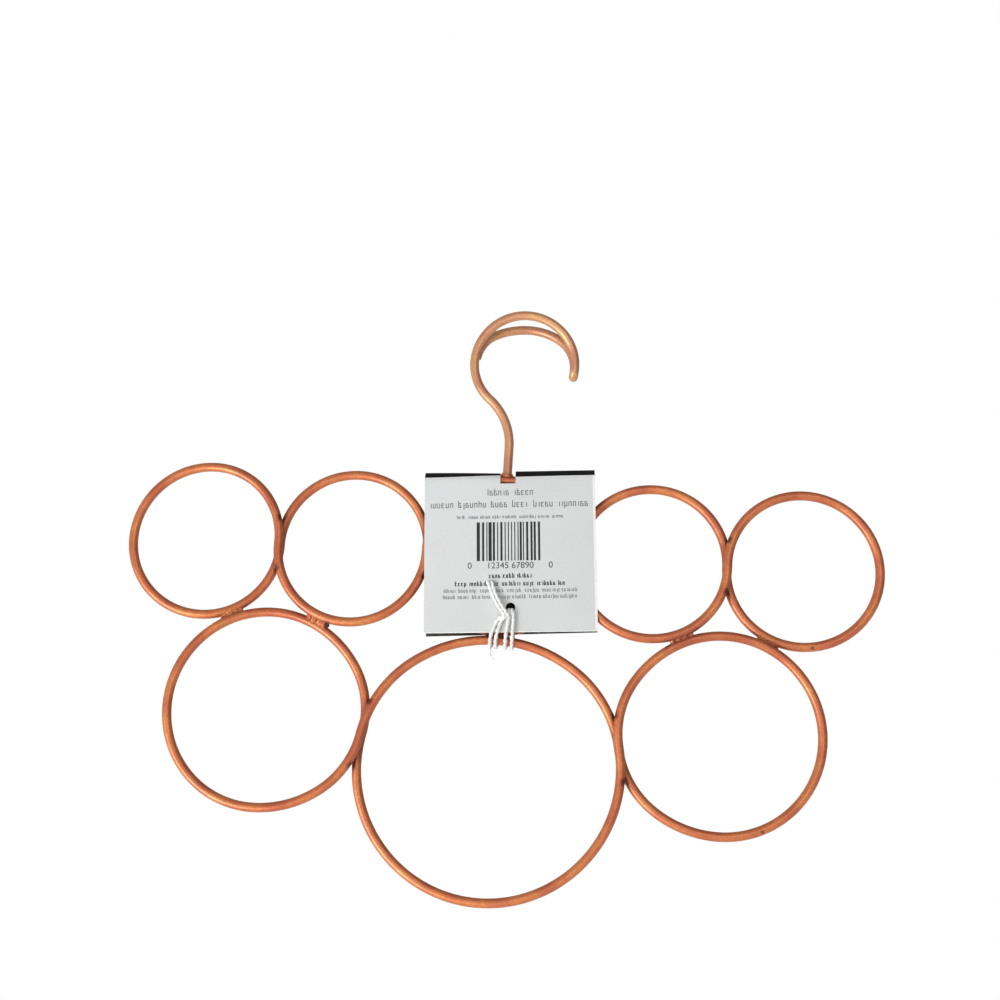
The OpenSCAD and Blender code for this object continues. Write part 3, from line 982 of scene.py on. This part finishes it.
def make_print():
    ink = paper("card_ink", (0.02, 0.02, 0.022), (0.05, 0.05, 0.055), 2200, 0.6, 0.1, 0.2)
    soft = paper("card_ink_soft", (0.09, 0.095, 0.095), (0.19, 0.20, 0.20), 2200, 0.6, 0.1, 0.2)
    rng = random.Random(7)
    # Each line's base over the card's lower edge, its width, height, words, stroke and ink
    lines = [
        (65.4, 22, 3.3, 2, 0.36, soft),
        (59.6, 76, 3.3, 6, 0.38, soft),
        (54.2, 50, 1.7, 8, 0.24, soft),
        (25.6, 20, 2.3, 3, 0.42, ink),
        (21.9, 52, 2.3, 7, 0.42, ink),
        (18.9, 63, 1.9, 9, 0.26, soft),
        (15.9, 63, 1.9, 8, 0.26, soft),
    ]
    for i, (base, width, high, words, stroke, material) in enumerate(lines):
        bm = bmesh.new()
        add_greeked_line(bm, rng, CARD_MID, CARD_BOTTOM + base, width, high, words, stroke)
        obj = new_object(f"card_line_{i + 1}", mesh_from(bm, f"card_line_{i + 1}"), material)
    bm = bmesh.new()
    add_bars(bm, rng, CARD_MID - BARS_HALF_W, CARD_MID + BARS_HALF_W, CARD_BOTTOM + BARS_LOW,
             CARD_BOTTOM + BARS_HIGH)
    bars = new_object("card_bars", mesh_from(bm, "card_bars"), ink)
    numerals = [
        ("card_numerals_middle", "12345 67890", 0),
        ("card_numerals_left", "0", -NUMERALS_OUT),
        ("card_numerals_right", "0", NUMERALS_OUT),
    ]
    for name, text, x in numerals:
        add_numerals(ink, name, text, CARD_MID + x, CARD_BOTTOM + NUMERALS_UP, NUMERALS_SIZE)


# String. Both strands start as the loose tail, pass the knot, go round the wires on the left,
# come forward through the hole and go round the wires again on the right.

STRING_RUNS = {
    "tie_string_outer": [
        (-5.3, -6.6, -13.9), (-4.3, -6.7, -16), (-3.1, -6.8, -18.6), (-1.7, -6.9, -21.6), (0.2, -7.2, -24.9),
        (2.1, -7.6, -27.5), (3.6, -8, -29.3), (2.9, -7.6, -30.6), (1.2, -6.8, -31.4), (0, -6.5, -33.2),
        (-1, -6.5, -36), (-1.9, -6.4, -38.6), (-2.4, -5.1, -41.2), (-2.5, -2.5, -43.1), (-2.4, 0, -43.9),
        (-2.2, 2.5, -43), (-1.9, 5.1, -41.2), (-1.3, 6.6, -38.6), (0.8, 6.8, -34.5), (2.9, 7, -30.4),
        (4.7, 7, -27.6), (5.6, 5.6, -26.9), (5.7, 0, -26.8), (5.7, -5.4, -26.8), (5.9, -6.8, -27.7),
        (5.8, -7, -29.4), (5.6, -6.6, -32), (5.3, -6.5, -35), (4.9, -6.4, -38.6), (4.7, -5.1, -41.2),
        (4.6, -2.5, -43.1), (4.6, 0, -44), (4.7, 2.5, -43.1), (4.9, 5.1, -41.2), (5.2, 6.6, -38.6),
        (5.6, 6.8, -34.5), (6, 7.2, -30.6), (6.2, 7.6, -28.2),
    ],
    "tie_string_inner": [
        (-3.2, -6.6, -13.8), (-2.5, -6.7, -16.2), (-1.4, -6.8, -19), (0.1, -7, -21.8), (1.9, -7.3, -24.8),
        (3.6, -7.8, -27.2), (4.7, -8.1, -29), (4, -7.8, -30.6), (2.7, -6.8, -31.6), (1.8, -6.5, -34),
        (1.1, -6.5, -37), (0.5, -6.3, -39.3), (0.2, -5.1, -41.2), (0.1, -2.5, -43.1), (0.2, 0, -43.9),
        (0.4, 2.5, -43), (0.7, 5.1, -41.2), (1.2, 6.6, -38.6), (2.9, 6.8, -34.5), (4.9, 7, -30.4),
        (6.4, 7, -27.6), (6.9, 5.6, -26.8), (6.9, 0, -26.7), (6.9, -5.4, -26.7), (7.2, -6.7, -27.6),
        (7.8, -6.6, -29.8), (8, -6.5, -33.5), (7.9, -6.4, -38.4), (7.8, -5.1, -41.2), (7.7, -2.5, -43.1),
        (7.7, 0, -44.1), (7.7, 2.5, -43.1), (7.7, 5.1, -41.2), (7.6, 6.6, -38.6), (7.5, 6.8, -34.5),
        (7.2, 7.2, -30.6), (6.6, 7.6, -28.2),
    ],
}
FRAYED_ENDS = [
    [(-2.4, -2.2, -43.2), (-2.3, -2.4, -45), (-1.9, -2, -47), (-0.8, -1.7, -48.8), (0.1, -1.4, -50)],
    [(-2.2, -2.1, -43.4), (-2.5, -1.9, -45.6), (-2, -2.1, -47.6), (-1.4, -2, -49.2)],
    [(-2.1, -2.2, -44.2), (-1.4, -2.2, -46), (-0.5, -2, -47)],
]
FRONT_KNOT = vec(4.3, -7.9, -29.6)
BACK_KNOT = vec(6.4, 7.5, -27.8)
KNOT_SIZE = 0.5
KNOT_POINTS = 72
STRAND_R = 0.56 * STRING_D
TWIST = 62
BLUNT_START = 0.6
BLUNT_EASE = 40
FRAY_R = 0.3
FRAY_TAPER = 0.18
FRAY_TWIST = 80


def smooth_route(points, per_span=6):
    """Points and headings of a smooth line through points."""
    points = [Vector(p) for p in points]
    ends = [2 * points[0] - points[1]] + points + [2 * points[-1] - points[-2]]
    route = []
    for i in range(len(points) - 1):
        a, b, c, d = ends[i:i + 4]
        last = i == len(points) - 2
        for k in range(per_span + (1 if last else 0)):
            t = k / per_span
            square = 2 * a - 5 * b + 4 * c - d
            cube = 3 * b - a - 3 * c + d
            p = 0.5 * (2 * b + (c - a) * t + square * t * t + cube * t ** 3)
            v = 0.5 * ((c - a) + 2 * square * t + 3 * cube * t * t)
            route.append((p, v.normalized()))
    return route


def string_material():
    material, tree, shader = new_material("string_cotton")
    tone = ramp(tree, noise_of(tree, 900, 3.0), [(0.3, (0.82, 0.81, 0.78)), (0.7, (0.92, 0.91, 0.89))])
    tree.links.new(tone, shader.inputs["Base Color"])
    shader.inputs["Roughness"].default_value = 0.85
    shader.inputs["Sheen Weight"].default_value = 0.3
    shader.inputs["Subsurface Weight"].default_value = 0.05
    bump(tree, shader, noise_of(tree, 3500, 4.0), 0.5, 0.0002)
    return material


def add_knot(bm, centre, size):
    """A small overhand knot, as a closed trefoil of string."""
    count = KNOT_POINTS
    points = []
    for k in range(count + 1):
        t = 2 * math.pi * k / count
        points.append(centre + size * vec(math.sin(t) + 1.7 * math.sin(2 * t), -0.8 * math.sin(3 * t),
                                          0.9 * (math.cos(t) - 1.7 * math.cos(2 * t))))
    headings = [(points[(i + 1) % count] - points[i - 1 if i else count - 1]).normalized()
                for i in range(count + 1)]
    add_tube(bm, list(zip(points, headings)), 0.9 * STRAND_R, sides=16, lobes=2, twist=TWIST)


def strand_radius(share):
    return STRAND_R * min(1.0, BLUNT_START + share * BLUNT_EASE)


def fray_radius(share):
    return FRAY_R - FRAY_TAPER * share


def make_string():
    cotton = string_material()
    meshes = {}
    for name, points in STRING_RUNS.items():
        bm = bmesh.new()
        add_tube(bm, smooth_route(points), strand_radius, sides=18, lobes=2, twist=TWIST)
        meshes[name] = mesh_from(bm, name)
    bm = bmesh.new()
    for points in FRAYED_ENDS:
        add_tube(bm, smooth_route(points), fray_radius, sides=10, lobes=2, twist=FRAY_TWIST)
    meshes["tie_string_frayed"] = mesh_from(bm, "tie_string_frayed")
    bm = bmesh.new()
    add_knot(bm, FRONT_KNOT, KNOT_SIZE)
    add_knot(bm, BACK_KNOT, KNOT_SIZE)
    meshes["tie_string_knots"] = mesh_from(bm, "tie_string_knots")
    for name, mesh in meshes.items():
        smooth(mesh)
        obj = new_object(name, mesh, cotton)
        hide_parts("tie_string")


# Stage

FLOOR_Z = -1.0
FLOOR_REACH = 4
FLOOR_GLOW = 0.9


def make_stage():
    """A pale floor far below the object. The world is white behind it."""
    bm = bmesh.new()
    bmesh.ops.create_grid(bm, x_segments=1, y_segments=1, size=FLOOR_REACH)
    bmesh.ops.translate(bm, verts=bm.verts, vec=(0, 0, FLOOR_Z))
    mesh = mesh_from(bm, "floor")
    floor = bpy.data.objects.new("floor", mesh)
    bpy.context.scene.collection.objects.link(floor)
    material, tree, shader = new_material("floor_white")
    shader.inputs["Base Color"].default_value = (0.86, 0.86, 0.86, 1)
    shader.inputs["Roughness"].default_value = 0.95
    shader.inputs["Specular IOR Level"].default_value = 0.1
    path = node(tree, "ShaderNodeLightPath")
    seen = node(tree, "ShaderNodeMath", operation="MAXIMUM")
    tree.links.new(path.outputs["Is Camera Ray"], seen.inputs[0])
    tree.links.new(path.outputs["Is Glossy Ray"], seen.inputs[1])
    share = node(tree, "ShaderNodeMath", operation="MULTIPLY")
    share.inputs[1].default_value = FLOOR_GLOW
    tree.links.new(seen.outputs[0], share.inputs[0])
    white = node(tree, "ShaderNodeEmission")
    mix = node(tree, "ShaderNodeMixShader")
    tree.links.new(share.outputs[0], mix.inputs["Fac"])
    tree.links.new(shader.outputs[0], mix.inputs[1])
    tree.links.new(white.outputs[0], mix.inputs[2])
    tree.links.new(mix.outputs[0], tree.nodes["Material Output"].inputs["Surface"])
    mesh.materials.append(material)


def add_lamp(name, at, target, size, power):
    light = bpy.data.lights.new(name, "AREA")
    light.shape = "RECTANGLE"
    light.size, light.size_y = size
    light.energy = power
    obj = bpy.data.objects.new(name, light)
    bpy.context.scene.collection.objects.link(obj)
    obj.location = at
    obj.rotation_euler = (Vector(target) - Vector(at)).to_track_quat("-Z", "Y").to_euler()


def make_light():
    """A soft key from the lower left, a weak fill from the front, and a world that is dimmer on the
    upper right. The camera sees the world white."""
    middle = (0, 0, -0.15)
    add_lamp("key_low_left", (-0.75, -0.72, -0.72), middle, size=(0.6, 0.6), power=11)
    add_lamp("fill_front", (0.25, -1.3, 0.1), middle, size=(0.8, 0.8), power=3)
    world = bpy.data.worlds.new("studio")
    bpy.context.scene.world = world
    world.use_nodes = True
    tree = world.node_tree
    background = tree.nodes["Background"]
    toward = node(tree, "ShaderNodeTexCoord")
    dot = node(tree, "ShaderNodeVectorMath", operation="DOT_PRODUCT")
    dot.inputs[1].default_value = vec(-0.6, -0.1, -0.6).normalized()
    tree.links.new(toward.outputs["Generated"], dot.inputs[0])
    dimmer = node(tree, "ShaderNodeMapRange")
    dimmer.inputs["From Min"].default_value = -1
    dimmer.inputs["To Min"].default_value = 0.28
    dimmer.inputs["To Max"].default_value = 0.7
    tree.links.new(dot.outputs["Value"], dimmer.inputs["Value"])
    path = node(tree, "ShaderNodeLightPath")
    strength = node(tree, "ShaderNodeMath", operation="MAXIMUM")
    tree.links.new(path.outputs["Is Camera Ray"], strength.inputs[0])
    tree.links.new(dimmer.outputs[0], strength.inputs[1])
    tree.links.new(strength.outputs[0], background.inputs["Strength"])
    background.inputs["Color"].default_value = (1, 1, 1, 1)


def make_camera():
    camera = bpy.data.cameras.new("camera")
    camera.sensor_width = 36
    camera.lens = 54
    camera.clip_start = 0.01
    obj = bpy.data.objects.new("camera", camera)
    bpy.context.scene.collection.objects.link(obj)
    obj.location = (0.0377, -0.6949, -0.2534)
    obj.rotation_euler = [math.radians(a) for a in (103.42, -3.61, 2.89)]
    bpy.context.scene.camera = obj


make_camera()
make_wires()
make_welds()
make_card()
make_print()
make_string()
make_stage()
make_light()
bpy.context.scene.view_settings.view_transform = "Standard"
